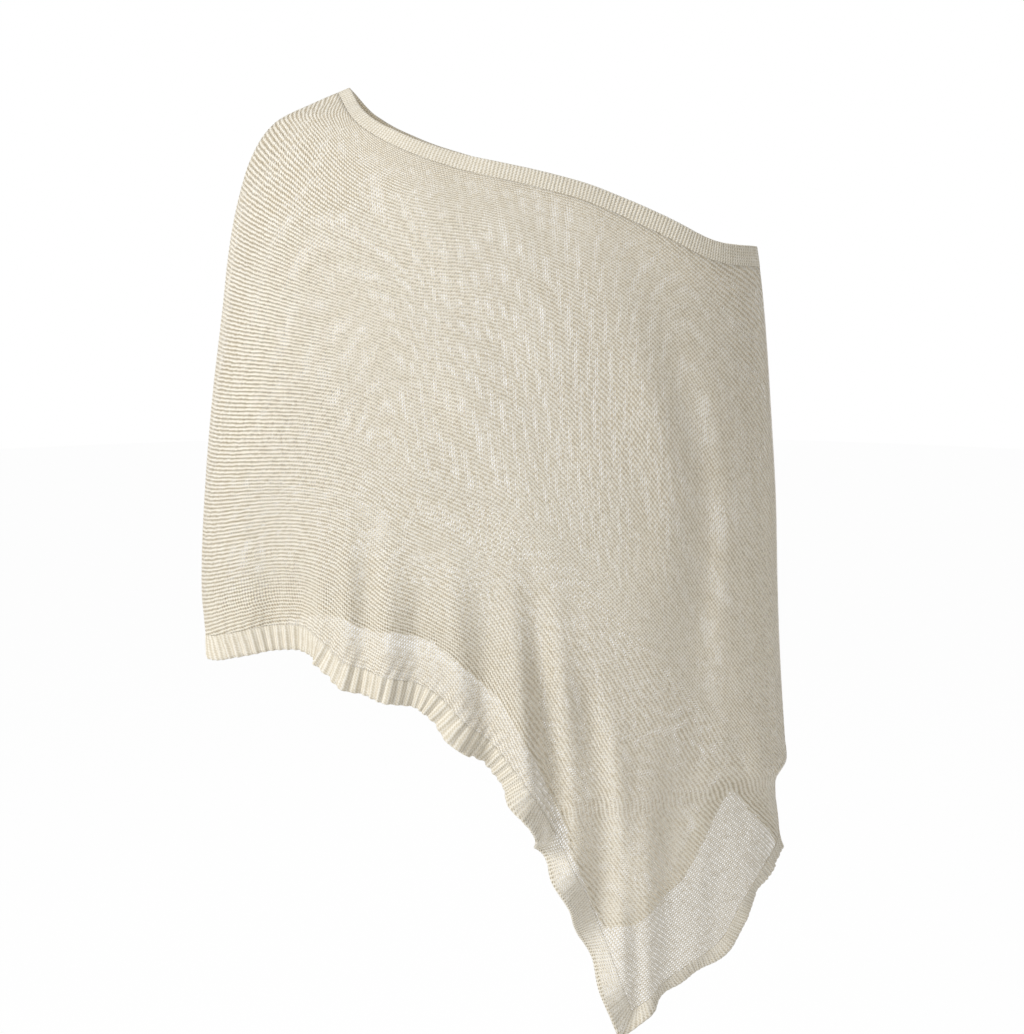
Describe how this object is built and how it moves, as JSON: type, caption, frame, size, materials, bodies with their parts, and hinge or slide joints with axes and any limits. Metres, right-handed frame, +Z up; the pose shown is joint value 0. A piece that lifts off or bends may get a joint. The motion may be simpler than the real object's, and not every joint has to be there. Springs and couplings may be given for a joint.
{
  "type": "knit beach cover-up",
  "caption": "One-shoulder knitted poncho in fine open knit with a slanted rib neckline, covered arms and a diagonal ribbed hem that falls to a long point.",
  "frame": {"origin": "the point under the knit that rests on the top of the wearer's right shoulder", "axes": "+X towards the wearer's left, +Y towards the wearer's back, +Z up"},
  "size_m": [0.5763, 0.2599, 0.896],
  "materials": {
    "open_knit": "ivory plain knit in a fine soft yarn, open enough to see through, matt with a light fuzz",
    "rib_knit": "ivory rib knit in the same yarn, closer and springier than the panels"
  },
  "bodies": {
    "root": {"front_panel": "open_knit", "back_panel": "open_knit", "neck_rib_front": "rib_knit", "neck_rib_back": "rib_knit", "hem_rib_front": "rib_knit", "hem_rib_back": "rib_knit", "tail_rib_front": "rib_knit", "tail_rib_back": "rib_knit"}
  },
  "joints": []
}
